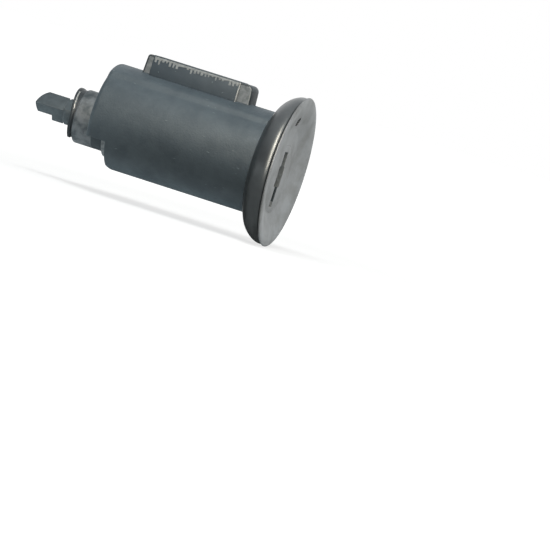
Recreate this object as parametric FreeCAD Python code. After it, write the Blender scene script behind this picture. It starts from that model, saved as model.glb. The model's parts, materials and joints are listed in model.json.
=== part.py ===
import FreeCAD, Part

import math
import os

from FreeCAD import Vector

# Ignition lock, in millimetres. The lock's axis is Y: its face looks to -Y and its tail to +Y.
# The rib over the pins points up, to +Z. The origin is on the barrel's axis, where the barrel
# leaves the back of the bezel ring.

# Pin stack: five sprung pairs of pins in a row
pin_count = 5
pin_pitch = 3.3
pin_radius = 1.22
pin_tip_radius = 0.45
pin_sides = 10
lower_pin_lengths = [2.4, 3.2, 2.0, 2.8, 1.6]
driver_hold = 0.95          # a fallen upper pin still stands this far in the housing
spring_coil_radius = 0.88
spring_wire_radius = 0.15
spring_turns = 3
spring_end_room = 0.18      # from the wire's middle to what the spring bears on, at each end
spring_turn_facets = 6

# Clearances
running_gap = 0.05      # round the turning parts, and at their shoulders
pin_gap = 0.06          # round each pin
seat_gap = 0.05         # under a piece that stops on a seat
seam_gap = 0.15         # the open seam between the face disc and the bezel ring
beyond = 1.0            # how far a cut runs past the surface that it opens

# Turning plug. Its axis lies below the barrel's, away from the rib.
plug_offset = 1.6
plug_wall = 0.7             # above and below the blade slot
head_step = 1.3             # the head is this much larger in radius than the plug's body
head_thickness = 2.95

# Blade slot, along the plug's body, and its stepped mouth in the head
slot_half_height = 4.4
slot_width = 2.1
slot_tip_room = 2.6         # the slot runs on this far behind the last pin
mouth_rise = 0.7            # the mouth's top, above the slot's
mouth_drop = 1.0            # the mouth's bottom, below the slot's
mouth_upper_width = 2.6
mouth_middle_width = 4.0
mouth_middle_rise = 2.3     # the wide middle's top, above the plug's axis
mouth_middle_drop = 1.6     # and its bottom, below it
mouth_lower_width = 1.9
mouth_depth = 2.1

# Barrel of the housing
barrel_wall = 2.7           # at its thinnest, below the plug
barrel_edge = 0.9
barrel_front = 2.5          # how far it reaches into the bezel ring
rib_to_rear = 5.2           # from the rib's back end to the barrel's rear end
pad_step = 0.5              # height of the raised band along the top
pad_half_angle = 35.0
pad_slope_angle = 4.0
pad_sink = 0.1              # how far the band's sloping edges run into the barrel
web_thickness = 1.2         # the wall that the plug's tail turns in
rear_seat_depth = 2.4       # the collar's seat in the rear end
notch_length = 4.0          # the cut-away at the bottom of the rear end
notch_chamfer = 0.6         # of its front wall's lower edge
notch_wall = 0.75           # left round the bore where the cut-away runs past the collar's seat

# Rib and its cover
rib_front = 5.0             # from the bezel's back to the rib
rib_front_block = 2.75
rib_rear_block = 1.55
rib_half_width = 2.6
rib_height = 3.3            # above the raised band
rib_root = 1.4              # how far the rib's foot reaches down into the barrel
rib_draft = 0.25            # how far each end leans in, from foot to top
rib_front_round = 1.1
rib_rear_round = 0.6
cover_end = 1.95            # from the outer pins to the cover's ends
cover_thickness = 0.45
cover_proud = 0.08          # the cover's top stands this far above the rib's end blocks
cover_skirt_gap = 0.3       # under its side walls
cover_chamfer = 0.25
tooth_pitch = 1.0
tooth_width = 0.5
tooth_height = 1.0
tooth_depth = 0.28
tooth_stand_off = 0.1       # the cutter for a nick starts this far outside the cover

# Bezel ring and face disc
face_overhang = 4.8         # the disc's rim stands this far out from the barrel
bezel_depth = 4.1           # from its front edge to its back
bezel_bead = 3.4            # the bead's widest place, in front of the origin
bezel_bead_set_in = 0.23    # and inside the disc's rim
bezel_shoulder = 2.65       # where the domed back begins, in front of the origin
bezel_shoulder_set_in = 0.7
dome_bands = 2
dome_fullness = 0.68        # where the domed back stands, as a share of its width
dome_set_back = 0.36        # and of its depth
disc_edge = 0.85            # thickness at the rim
disc_edge_taper = 0.12      # the rim's back edge is this much smaller
disc_lip = 1.6              # the rim overhangs the spigot by this much
rim_land = 0.9              # from the rim to the dish
dish_depth = 1.4
dish_floor_margin = 0.1     # the dish is flat this far round the plug's head
release_hole_radius = 0.9   # the hole opens over the barrel's surface

# Tail: collar, clip and tang
hub_radius = 2.45
hub_flat_depth = 0.55       # of its two flats
collar_stand_out = 4.0      # how far the collar stands out of the barrel
clip_thickness = 0.85
clip_set_in = 0.1           # the clip is this much smaller in radius than the collar
clip_ring_width = 1.9
clip_prong_width = 1.6
clip_half_angle = 118.0
clip_prong_angle = 104.0
groove_depth = 0.65
hub_stand_out = 2.25        # behind the clip
tang_length = 5.5
tang_step = 2.2             # length of the full section
tang_step_depth = 0.9
tang_tip_radius = 2.8       # the tip is rounded over its top and bottom edges
lug_angle = 45.0            # from straight down, to the +X side
lug_half_width = 0.8
lug_height = 1.8            # above the collar
lug_length = 1.9
lug_set_back = 0.25         # behind the collar's seat
lug_stop_gap = 0.18         # under the notch's ceiling

# Places along the axis
disc_back = -barrel_front
bezel_front = -bezel_depth
disc_rim_back = bezel_front - seam_gap
face = disc_rim_back - disc_edge
cover_front = rib_front + rib_front_block
cover_length = (pin_count - 1) * pin_pitch + 2.0 * cover_end
cover_rear = cover_front + cover_length
rib_rear = cover_rear + rib_rear_block
first_pin = cover_front + cover_end
pin_places = [first_pin + i * pin_pitch for i in range(pin_count)]
barrel_length = rib_rear + rib_to_rear
rear_seat = barrel_length - rear_seat_depth
web_front = rear_seat - web_thickness
collar_front = rear_seat + running_gap
collar_rear = barrel_length + collar_stand_out
clip_rear = collar_rear + clip_thickness
hub_rear = clip_rear + hub_stand_out
tang_rear = hub_rear + tang_length

# Radii and heights that follow from the fits
axis_z = -plug_offset
plug_radius = slot_half_height + plug_wall
bore_radius = plug_radius + running_gap
head_radius = plug_radius + head_step
head_bore_radius = head_radius + running_gap
web_bore_radius = hub_radius + running_gap
mouth_top = slot_half_height + mouth_rise
mouth_bottom = slot_half_height + mouth_drop
barrel_radius = plug_offset + plug_radius + barrel_wall
pad_radius = barrel_radius + pad_step
rib_top = pad_radius + rib_height
cover_half_width = rib_half_width + cover_thickness
cover_top = rib_top + cover_proud
cover_seat = cover_top - cover_thickness
cover_skirt = math.sqrt(pad_radius ** 2 - cover_half_width ** 2) + cover_skirt_gap
disc_radius = barrel_radius + face_overhang
disc_spigot_radius = disc_radius - disc_lip
dish_radius = disc_radius - rim_land
dish_floor_radius = plug_offset + head_bore_radius + dish_floor_margin
bezel_bead_radius = disc_radius - bezel_bead_set_in
bezel_shoulder_radius = disc_radius - bezel_shoulder_set_in
release_hole_height = barrel_radius
hub_flat = hub_radius - hub_flat_depth
groove_radius = hub_radius - groove_depth
clip_radius = plug_radius - clip_set_in
tang_lower = hub_radius - tang_step_depth
lug_radius = plug_radius + lug_height
lug_turn = math.radians(lug_angle)
notch_height = (plug_offset + bore_radius * math.cos(lug_turn) - lug_half_width * math.sin(lug_turn)
                - lug_stop_gap)
head_front = face + dish_depth
head_back = head_front + head_thickness
chamber_radius = pin_radius + pin_gap
fallen_tip = axis_z + seat_gap
chamber_floor = axis_z + slot_width / 2.0 - pin_tip_radius   # the pins' cones land on the slot's two edges
lower_pin_top = axis_z + math.sqrt(plug_radius ** 2 - pin_radius ** 2) - seat_gap
pin_drops = [lower_pin_top - fallen_tip - length for length in lower_pin_lengths]   # with the blade out
upper_pin_bottom = axis_z + bore_radius
upper_pin_length = max(pin_drops) + driver_hold
upper_pin_top = upper_pin_bottom + upper_pin_length

AXIS_Y = Vector(0, 1, 0)


def rod(radius, start, end, z=0.0):
    """A cylinder along the lock's axis, from one place to another, at height z."""
    return Part.makeCylinder(radius, end - start, Vector(0, start, z), AXIS_Y)


def block(half_width, y0, y1, z0, z1):
    """A box centred across the lock."""
    return Part.makeBox(2.0 * half_width, y1 - y0, z1 - z0, Vector(-half_width, y0, z0))


def revolved(edges):
    """A solid of revolution about the barrel's axis, from a closed outline at x = 0."""
    return Part.Face(Part.Wire(edges)).revolve(Vector(0, 0, 0), AXIS_Y, 360)


def at(radius, y):
    """A point of a revolved outline."""
    return Vector(0, y, radius)


def line(start, end):
    return Part.LineSegment(start, end).toShape()


def arc(start, middle, end):
    return Part.Arc(start, middle, end).toShape()


def path(*points):
    """Straight edges through the points, in order."""
    return [line(a, b) for a, b in zip(points, points[1:])]


def rounded(start, middle, end, steps):
    """Points along the arc through three points, so that a turned curve is a few plain cones."""
    return Part.Arc(start, middle, end).discretize(steps + 1)


def extruded_across(edges, half_width):
    """A closed outline in the lock's upright plane, extruded to both sides of it."""
    side = Part.Face(Part.Wire(edges))
    side.translate(Vector(-half_width, 0, 0))
    return side.extrude(Vector(2.0 * half_width, 0, 0))


def around_plug(angle, radius):
    """A point of a circle about the plug's axis: the angle is from straight up, toward +X."""
    turn = math.radians(angle)
    return Vector(radius * math.sin(turn), 0, axis_z + radius * math.cos(turn))


def turned_barrel(radius, front):
    """A turned length of barrel with its rear edge rounded."""
    round_start = barrel_length - barrel_edge
    middle = math.sqrt(0.5) * barrel_edge
    edge = rounded(
        at(radius, round_start),
        at(radius - barrel_edge + middle, round_start + middle),
        at(radius - barrel_edge, barrel_length), 2)
    return revolved(path(at(0, front), at(radius, front), *edge, at(0, barrel_length), at(0, front)))


def pad_band():
    """The raised band along the top of the barrel, with sloping long edges."""
    def on(radius, angle):
        turn = math.radians(angle)
        return Vector(radius * math.sin(turn), 0, radius * math.cos(turn))

    foot = barrel_radius - pad_sink
    foot_angle = pad_half_angle + pad_slope_angle
    outside = pad_radius + beyond
    outline = path(on(outside, pad_half_angle), on(pad_radius, pad_half_angle), on(foot, foot_angle),
                   Vector(0, 0, 0), on(foot, -foot_angle), on(pad_radius, -pad_half_angle),
                   on(outside, -pad_half_angle), on(outside, pad_half_angle))
    wedge = Part.Face(Part.Wire(outline)).extrude(Vector(0, barrel_length, 0))
    return turned_barrel(pad_radius, 0).common(wedge)


def barrel_body():
    """The cast barrel with its raised band."""
    return turned_barrel(barrel_radius, -barrel_front).fuse(pad_band())


def rib_body():
    """The rib over the pin chambers: two end blocks, and between them the cover's seat."""
    foot = barrel_radius - rib_root
    lean = rib_draft
    middle = 1.0 - math.sqrt(0.5)
    front_round = [
        Vector(0, rib_front + lean, rib_top - rib_front_round),
        Vector(0, rib_front + lean + middle * rib_front_round, rib_top - middle * rib_front_round),
        Vector(0, rib_front + lean + rib_front_round, rib_top)]
    rear_round = [
        Vector(0, rib_rear - lean - rib_rear_round, rib_top),
        Vector(0, rib_rear - lean - middle * rib_rear_round, rib_top - middle * rib_rear_round),
        Vector(0, rib_rear - lean, rib_top - rib_rear_round)]
    outline = (
        path(Vector(0, rib_rear, foot), Vector(0, rib_front, foot), front_round[0])
        + [arc(*front_round)] + path(front_round[2], rear_round[0]) + [arc(*rear_round)]
        + path(rear_round[2], Vector(0, rib_rear, foot)))
    rib = extruded_across(outline, rib_half_width)
    recess = block(rib_half_width + beyond, cover_front, cover_rear, cover_seat, rib_top + beyond)
    return rib.cut(recess)


def plug_bore():
    """Everything that is bored about the plug's axis: head seat, bore, web and rear seat."""
    tools = [
        rod(head_bore_radius, -barrel_front - beyond, head_back + seat_gap, axis_z),
        rod(bore_radius, -barrel_front - beyond, web_front, axis_z),
        rod(web_bore_radius, web_front - beyond, rear_seat + beyond, axis_z),
        rod(bore_radius, rear_seat, barrel_length + beyond, axis_z),
    ]
    return tools[0].fuse(tools[1:])


def rear_notch():
    """The cut-away at the bottom of the rear end: open over the collar, and round the bore's wall before it."""
    front = barrel_length - notch_length
    behind = barrel_length + beyond
    below = -barrel_radius - beyond
    corner = Vector(0, front, notch_chamfer - barrel_radius)
    outline = path(
        corner, Vector(0, front, -notch_height), Vector(0, behind, -notch_height), Vector(0, behind, below),
        Vector(0, front - notch_chamfer - beyond, below), corner)
    opening = extruded_across(outline, barrel_radius + beyond)
    return opening.cut(rod(bore_radius + notch_wall, front - beyond, rear_seat, axis_z))


def release_channel():
    """The small round channel that the face hole leads into, up to the rib."""
    return rod(release_hole_radius, -barrel_front - beyond, rib_front, release_hole_height)


def pin_column(y, levels):
    """An upright many-sided column through (height, radius) levels, for a pin or its chamber."""
    corner = 2.0 * math.pi / pin_sides
    rings = [[Vector(radius * math.cos(i * corner), y + radius * math.sin(i * corner), height)
              for i in range(pin_sides)] for height, radius in levels]
    outlines = [rings[0], rings[-1]]
    for low, high in zip(rings, rings[1:]):
        for i in range(pin_sides):
            j = (i + 1) % pin_sides
            outlines.append([low[i], low[j], high[j], high[i]])
    faces = [Part.Face(Part.makePolygon(points + points[:1])) for points in outlines]
    column = Part.Solid(Part.Shell(faces))
    if column.Volume < 0:
        column.reverse()
    return column


def chamber(y, floor, top):
    """One pin chamber."""
    return pin_column(y, [(floor, chamber_radius), (top, chamber_radius)])


def housing():
    """The cast housing: barrel, raised band and rib in one piece."""
    solid = barrel_body().fuse(rib_body())
    tools = [plug_bore(), rear_notch(), release_channel()]
    tools += [chamber(y, axis_z, rib_top + beyond) for y in pin_places]
    return solid.cut(tools).removeSplitter()


def bezel_ring():
    """The polished ring: a bright bead round the face disc, and a domed back."""
    shoulder = at(bezel_shoulder_radius, -bezel_shoulder)
    bead = rounded(
        at(disc_spigot_radius, bezel_front), at(bezel_bead_radius, -bezel_bead), shoulder, 3)
    width = bezel_shoulder_radius - barrel_radius
    dome = rounded(
        shoulder,
        at(barrel_radius + dome_fullness * width, -dome_set_back * bezel_shoulder),
        at(barrel_radius, 0), dome_bands)
    outline = path(*bead, *dome[1:], at(barrel_radius, disc_back), at(disc_spigot_radius, disc_back), bead[0])
    return revolved(outline).cut(release_channel())


def face_disc():
    """The satin face: a rounded rim, a shallow dish, and a spigot that fills the bezel ring."""
    rim = [
        at(disc_radius - disc_edge_taper, disc_rim_back),
        at(disc_radius, disc_rim_back - disc_edge / 2.0),
        at(dish_radius, face)]
    outline = path(at(0, head_front), at(0, disc_back), at(disc_spigot_radius, disc_back),
                   at(disc_spigot_radius, disc_rim_back), *rim,
                   at(dish_floor_radius, head_front), at(0, head_front))
    opening = rod(head_bore_radius, face - beyond, disc_back + beyond, axis_z)
    hole = rod(release_hole_radius, face - beyond, disc_back + beyond, release_hole_height)
    return revolved(outline).cut([opening, hole])


def blade_slot():
    """The stepped mouth in the plug's head, and the slot behind it."""
    mouth_back = head_front + mouth_depth
    upper = block(mouth_upper_width / 2.0, face, mouth_back, axis_z, axis_z + mouth_top)
    middle = block(mouth_middle_width / 2.0, face, mouth_back,
                   axis_z - mouth_middle_drop, axis_z + mouth_middle_rise)
    lower = block(mouth_lower_width / 2.0, face, mouth_back, axis_z - mouth_bottom, axis_z)
    slot_end = pin_places[-1] + slot_tip_room
    slot = block(slot_width / 2.0, face, slot_end, axis_z - slot_half_height, axis_z + slot_half_height)
    return upper.fuse([middle, lower, slot])


def hub_flats(start, end):
    """The slab between the hub's two flats, which lie along the faces of the square tang."""
    slab = block(hub_flat, start - beyond, end + beyond, -2.0 * hub_radius, 2.0 * hub_radius)
    slab.rotate(Vector(0, 0, 0), AXIS_Y, 45)
    slab.translate(Vector(0, 0, axis_z))
    return slab


def tail_bar():
    """The plug's tail: a round hub with two flats, a clip groove and a square tang set on edge."""
    hub = rod(hub_radius, web_front - beyond, hub_rear, axis_z)
    core = rod(groove_radius, collar_rear, clip_rear, axis_z)
    groove = rod(hub_radius + beyond, collar_rear, clip_rear, axis_z).cut(core)
    return hub.common(hub_flats(web_front - beyond, hub_rear)).cut(groove).fuse(tang())


def tang():
    """The square tang on edge, stepped below and rounded at its tip."""
    side = hub_radius * math.sqrt(2.0)
    bar = Part.makeBox(side, tang_length, side, Vector(-side / 2.0, hub_rear, -side / 2.0))
    bar.rotate(Vector(0, 0, 0), AXIS_Y, 45)
    bar.translate(Vector(0, 0, axis_z))
    step = block(hub_radius + beyond, hub_rear + tang_step, tang_rear + beyond,
                 axis_z - 2.0 * hub_radius, axis_z - tang_lower)
    tip_start = tang_rear - tang_tip_radius
    tip = Part.makeCylinder(tang_tip_radius, 4.0 * hub_radius,
                            Vector(-2.0 * hub_radius, tip_start, axis_z), Vector(1, 0, 0))
    keep = tip.fuse(block(2.0 * hub_radius, hub_rear, tip_start,
                          axis_z - tang_tip_radius, axis_z + tang_tip_radius))
    return bar.cut(step).common(keep)


def plug():
    """The turning plug, from its head in the face disc to the tang."""
    head = rod(head_radius, head_front, head_back, axis_z)
    body = rod(plug_radius, head_back, web_front - running_gap, axis_z)
    solid = head.fuse([body, tail_bar()])
    chambers = [chamber(y, chamber_floor, axis_z + plug_radius + beyond) for y in pin_places]
    return solid.cut([blade_slot()] + chambers).removeSplitter()


def tail_collar():
    """The collar on the hub: it holds the plug in, and its lug stops the turn in the notch."""
    collar = rod(plug_radius, collar_front, collar_rear, axis_z)
    lug_start = rear_seat + lug_set_back
    lug = Part.makeBox(2.0 * lug_half_width, lug_length, lug_radius - hub_radius,
                       Vector(-lug_half_width, lug_start, hub_radius))
    lug.rotate(Vector(0, 0, 0), AXIS_Y, 180.0 - lug_angle)
    lug.translate(Vector(0, 0, axis_z))
    hub = rod(hub_radius, collar_front, collar_rear, axis_z)
    return collar.fuse(lug).cut(hub.common(hub_flats(collar_front, collar_rear))).removeSplitter()


def clip_sector(radius, y0, y1):
    """The wedge of a disc that the clip's arc fills, open at the bottom."""
    centre = around_plug(0, 0)
    left = around_plug(-clip_half_angle, radius)
    right = around_plug(clip_half_angle, radius)
    edges = [line(centre, left), arc(left, around_plug(0, radius), right), line(right, centre)]
    sector = Part.Face(Part.Wire(edges))
    sector.translate(Vector(0, y0, 0))
    return sector.extrude(Vector(0, y1 - y0, 0))


def retaining_clip():
    """The spring clip: an open ring with three prongs that bear in the hub's groove."""
    inside = rod(clip_radius - clip_ring_width, collar_rear, clip_rear, axis_z)
    ring = clip_sector(clip_radius, collar_rear, clip_rear).cut(inside)
    prongs = []
    for angle in (0.0, clip_prong_angle, -clip_prong_angle):
        prong = Part.makeBox(clip_prong_width, clip_thickness, clip_radius - clip_ring_width / 2.0,
                             Vector(-clip_prong_width / 2.0, collar_rear, 0))
        prong.rotate(Vector(0, 0, 0), AXIS_Y, angle)
        prong.translate(Vector(0, 0, axis_z))
        prongs.append(prong)
    return ring.fuse(prongs).cut(rod(groove_radius, collar_rear, clip_rear, axis_z)).removeSplitter()


def cover_teeth():
    """The row of small staking nicks along both upper edges of the cover."""
    room = cover_length - 2.0 * cover_chamfer - tooth_pitch
    count = int(room / tooth_pitch) + 1
    first = cover_front + (cover_length - (count - 1) * tooth_pitch) / 2.0
    nicks = []
    for i in range(count):
        y = first + i * tooth_pitch
        for side in (-1, 1):
            nick = block((tooth_depth + tooth_stand_off) / 2.0, y - tooth_width / 2.0, y + tooth_width / 2.0,
                         cover_top - tooth_height, cover_top + beyond)
            nick.translate(Vector(side * (cover_half_width + (tooth_stand_off - tooth_depth) / 2.0), 0, 0))
            nicks.append(nick)
    return nicks


def spring_cover():
    """The steel channel that closes the pin chambers and straddles the rib."""
    outer = block(cover_half_width, cover_front, cover_rear, cover_skirt, cover_top)
    corners = [edge for edge in outer.Edges if edge.BoundBox.ZLength > cover_thickness]
    outer = outer.makeChamfer(cover_chamfer, corners)
    inner = block(rib_half_width, cover_front - beyond, cover_rear + beyond,
                  cover_skirt - beyond, cover_seat)
    return outer.cut([inner] + cover_teeth())


def lower_pin(y, length):
    """One lower pin, flat above and pointed below, its top just under the plug's surface."""
    bottom = lower_pin_top - length
    shoulder = bottom + pin_radius - pin_tip_radius
    return pin_column(y, [(bottom, pin_tip_radius), (shoulder, pin_radius), (lower_pin_top, pin_radius)])


def upper_pin(y):
    """One upper pin, which crosses into the plug when the blade is out."""
    return pin_column(y, [(upper_pin_bottom, pin_radius), (upper_pin_top, pin_radius)])


def pin_spring(y):
    """One coil spring between an upper pin and the cover, its wire drawn square, equal in section."""
    bottom = upper_pin_top + spring_end_room
    height = cover_seat - spring_end_room - bottom
    count = spring_turns * spring_turn_facets
    turn = 2.0 * math.pi / spring_turn_facets
    points = [Vector(spring_coil_radius * math.cos(i * turn), spring_coil_radius * math.sin(i * turn),
                     height * i / count) for i in range(count + 1)]
    outward = Vector(1, 0, 0)
    along = (points[1] - points[0]).normalize()
    upward = along.cross(outward).normalize()
    sideways = upward.cross(along).normalize()
    half_side = spring_wire_radius * math.sqrt(math.pi) / 2.0
    corners = [points[0] + (sideways * sx + upward * sz) * half_side
               for sx, sz in ((1, 1), (-1, 1), (-1, -1), (1, -1), (1, 1))]
    spring = Part.Wire(path(*points)).makePipeShell([Part.makePolygon(corners)], True, False, 1)
    spring.translate(Vector(0, y, bottom))
    return spring


def parts():
    """Every piece of the lock, by name."""
    pieces = {
        "housing": housing(),
        "bezel_ring": bezel_ring(),
        "face_disc": face_disc(),
        "plug": plug(),
        "tail_collar": tail_collar(),
        "retaining_clip": retaining_clip(),
        "spring_cover": spring_cover(),
    }
    for i, y in enumerate(pin_places):
        pieces[f"lower_pin_{i + 1}"] = lower_pin(y, lower_pin_lengths[i])
        pieces[f"upper_pin_{i + 1}"] = upper_pin(y)
        pieces[f"pin_spring_{i + 1}"] = pin_spring(y)
    return pieces


os.makedirs("parts", exist_ok=True)
for name, shape in parts().items():
    shape.exportStep(f"parts/{name}.step")
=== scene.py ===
import json
import logging
import math
import random
from contextlib import contextmanager
from dataclasses import dataclass
from enum import Enum
from functools import cache
from typing import Callable, Iterator, Sequence

import bmesh
import bpy
from mathutils import Matrix, Vector


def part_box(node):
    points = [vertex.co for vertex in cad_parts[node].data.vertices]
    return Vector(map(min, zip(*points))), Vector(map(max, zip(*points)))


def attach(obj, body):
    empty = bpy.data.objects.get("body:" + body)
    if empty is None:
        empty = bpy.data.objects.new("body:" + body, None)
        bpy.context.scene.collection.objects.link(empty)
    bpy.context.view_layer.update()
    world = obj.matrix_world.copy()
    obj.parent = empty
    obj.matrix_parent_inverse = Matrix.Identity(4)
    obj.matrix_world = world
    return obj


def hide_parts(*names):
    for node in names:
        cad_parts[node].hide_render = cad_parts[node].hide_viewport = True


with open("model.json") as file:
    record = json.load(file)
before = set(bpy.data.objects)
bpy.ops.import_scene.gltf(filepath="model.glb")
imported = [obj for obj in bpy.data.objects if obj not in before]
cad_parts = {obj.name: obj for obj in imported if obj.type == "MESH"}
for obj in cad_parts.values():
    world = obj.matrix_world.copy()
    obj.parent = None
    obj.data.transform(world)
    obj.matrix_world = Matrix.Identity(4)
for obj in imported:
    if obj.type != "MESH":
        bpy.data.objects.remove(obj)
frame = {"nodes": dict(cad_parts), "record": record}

logging.basicConfig(level=logging.INFO, format="%(name)s: %(message)s")
log = logging.getLogger("ignition_lock")

MM = 0.001                          # one millimetre, in metres
SMOOTH_ANGLE = math.radians(32.0)   # edges sharper than this stay crisp
BEVEL_ANGLE = math.radians(40.0)    # and edges sharper than this are rounded
BEVEL_STEPS = 3
ROUND_SIDES = 240                   # facets round a turned piece
WEB_SIDES = 96                      # round the bore that the hub turns in
HOLE_SIDES = 64                     # round the hole in the face
FINE_SIDES = 48                     # round a pin's chamber and the groove behind the hole
BEYOND = 1.0                        # how far a cut runs past the surface that it opens, in millimetres
NEAR = 0.05                         # places closer than this count as the same, in millimetres
MERGED = 0.002                      # and vertices closer than this become one
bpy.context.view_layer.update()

Point = tuple[float, float]         # (radius, place along the axis) or a flat outline, in millimetres
Place = tuple[float, float, float]
Span = tuple[float, float]          # the least and the most, or the first and the last
Solid = bpy.types.Object            # a mesh object, with its place in its mesh


class Body(Enum):
    """The moving bodies of the lock."""

    HOUSING = "housing"
    PLUG = "plug"


class Change(Enum):
    """What one solid does to another."""

    ADD = "UNION"
    CUT = "DIFFERENCE"
    KEEP = "INTERSECT"


def deselect_everything() -> None:
    """Leave edit mode and deselect every object."""
    if bpy.context.object and bpy.context.object.mode != "OBJECT":
        bpy.ops.object.mode_set(mode="OBJECT")
    bpy.ops.object.select_all(action="DESELECT")


def make_active(piece: Solid) -> None:
    """Select one object alone and make it the active one.

    Args:
        piece: The object.
    """
    deselect_everything()
    piece.select_set(True)
    bpy.context.view_layer.objects.active = piece


@contextmanager
def edit_mode(piece: Solid) -> Iterator[None]:
    """Edit one mesh, and come back to object mode afterwards.

    Args:
        piece: The mesh object to edit.
    """
    make_active(piece)
    bpy.ops.object.mode_set(mode="EDIT")
    yield
    bpy.ops.object.mode_set(mode="OBJECT")


def select_vertices(piece: Solid, wanted: Callable[[Vector], bool]) -> None:
    """Select the vertices of the mesh in edit mode that a test picks by their place.

    Args:
        piece: The mesh object that is in edit mode.
        wanted: The test, given a place in millimetres.
    """
    bpy.ops.mesh.select_mode(type="VERT")
    bpy.ops.mesh.select_all(action="DESELECT")
    mesh = bmesh.from_edit_mesh(piece.data)
    for vertex in mesh.verts:
        if wanted(vertex.co / MM):
            vertex.select_set(True)
    mesh.select_flush(True)
    bmesh.update_edit_mesh(piece.data)


def extrude(along: Vector) -> None:
    """Extrude what is selected in edit mode, by a step in millimetres."""
    bpy.ops.mesh.extrude_region_move(TRANSFORM_OT_translate={"value": along * MM})


def apply_placing(piece: Solid) -> None:
    """Put a piece's place, turn and size into its mesh."""
    make_active(piece)
    bpy.ops.object.transform_apply(location=True, rotation=True, scale=True)


def apply_modifiers(piece: Solid) -> None:
    """Apply every modifier of a piece.

    Args:
        piece: The object that has them.
    """
    make_active(piece)
    for modifier in list(piece.modifiers):
        bpy.ops.object.modifier_apply(modifier=modifier.name)


def mesh_piece(name: str, places: Sequence[Vector], edges: Sequence[tuple[int, int]],
               faces: Sequence[Sequence[int]]) -> Solid:
    """Add a mesh object from an outline.

    Args:
        name: The piece's name.
        places: The vertices, in millimetres.
        edges: Pairs of vertex numbers.
        faces: Lists of vertex numbers.

    Returns:
        The new object.
    """
    mesh = bpy.data.meshes.new(name)
    mesh.from_pydata([place * MM for place in places], edges, faces)
    piece = bpy.data.objects.new(name, mesh)
    bpy.context.scene.collection.objects.link(piece)
    return piece


def close_up(piece: Solid) -> None:
    """Merge doubled vertices and turn every face outwards.

    Args:
        piece: The closed mesh.
    """
    with edit_mode(piece):
        bpy.ops.mesh.select_mode(type="VERT")
        bpy.ops.mesh.select_all(action="SELECT")
        bpy.ops.mesh.remove_doubles(threshold=MERGED * MM)
        bpy.ops.mesh.normals_make_consistent(inside=False)


def turned(name: str, profile: Sequence[Point], axis_z: float = 0.0, angle: float = 360.0,
           start: float = 0.0) -> Solid:
    """Turn a closed profile about an axis that runs the lock's way.

    Args:
        name: The piece's name.
        profile: (radius, y) points in millimetres, as a closed outline.
        axis_z: The turning axis's height, in millimetres.
        angle: How far round the profile goes, in degrees.
        start: Where it starts, from straight up toward +X, in degrees.

    Returns:
        The closed solid.
    """
    turn = math.radians(start)
    across = Vector((math.sin(turn), 0.0, math.cos(turn)))
    places = [Vector((0.0, y, axis_z)) + across * radius for radius, y in profile]
    count = len(places)
    edges = [(i, (i + 1) % count) for i in range(count)]
    piece = mesh_piece(name, places, edges, [] if angle >= 360.0 else [range(count)])
    with edit_mode(piece):
        bpy.ops.mesh.select_all(action="SELECT")
        bpy.ops.mesh.spin(steps=round(ROUND_SIDES * angle / 360.0), angle=-math.radians(angle),
                          center=(0.0, 0.0, axis_z * MM), axis=(0.0, 1.0, 0.0))
    close_up(piece)
    return piece


def prism(name: str, outline: Sequence[Vector], along: Vector) -> Solid:
    """Extrude a flat closed outline into a solid.

    Args:
        name: The piece's name.
        outline: Its corners, in millimetres.
        along: How far and which way it is extruded, in millimetres.

    Returns:
        The closed solid.
    """
    piece = mesh_piece(name, outline, [], [range(len(outline))])
    with edit_mode(piece):
        bpy.ops.mesh.select_all(action="SELECT")
        extrude(along)
    close_up(piece)
    return piece


def block(name: str, low: Vector, high: Vector) -> Solid:
    """A box between two corners, in millimetres."""
    sides = ((low.x, low.z), (high.x, low.z), (high.x, high.z), (low.x, high.z))
    return prism(name, [Vector((x, low.y, z)) for x, z in sides], Vector((0.0, high.y - low.y, 0.0)))


def rod(name: str, radius: float, start: float, end: float, z: float = 0.0,
        sides: int = ROUND_SIDES) -> Solid:
    """A cylinder along the lock's way.

    Args:
        name: The piece's name.
        radius: Its radius, in millimetres.
        start: Where it starts along the axis.
        end: Where it ends.
        z: Its axis's height.
        sides: How many facets it has.

    Returns:
        The closed solid.
    """
    deselect_everything()
    bpy.ops.mesh.primitive_cylinder_add(
        vertices=sides, radius=radius * MM, depth=(end - start) * MM,
        location=(0.0, (start + end) / 2.0 * MM, z * MM), rotation=(math.pi / 2.0, 0.0, 0.0))
    piece = bpy.context.object
    piece.name = name
    apply_placing(piece)
    return piece


def combine(piece: Solid, others: Sequence[Solid], change: Change) -> None:
    """Change a solid by others, and delete them.

    Args:
        piece: The solid to change.
        others: The solids that change it, one after another.
        change: What they do to it.
    """
    for other in others:
        modifier = piece.modifiers.new("combine", "BOOLEAN")
        modifier.operation = change.value
        modifier.solver = "EXACT"
        modifier.object = other
        apply_modifiers(piece)
        bpy.data.objects.remove(other)


def round_edges(piece: Solid, width: float) -> None:
    """Round every sharp edge of a solid.

    Args:
        piece: The solid to change.
        width: The bevel's width, in millimetres.
    """
    modifier = piece.modifiers.new("bevel", "BEVEL")
    modifier.width = width * MM
    modifier.segments = BEVEL_STEPS
    modifier.limit_method = "ANGLE"
    modifier.angle_limit = BEVEL_ANGLE
    apply_modifiers(piece)


def join(pieces: Sequence[Solid]) -> Solid:
    """Join objects into the first one.

    Args:
        pieces: The objects.

    Returns:
        The first of them, which holds them all.
    """
    make_active(pieces[0])
    for piece in pieces[1:]:
        piece.select_set(True)
    bpy.ops.object.join()
    return pieces[0]


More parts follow.
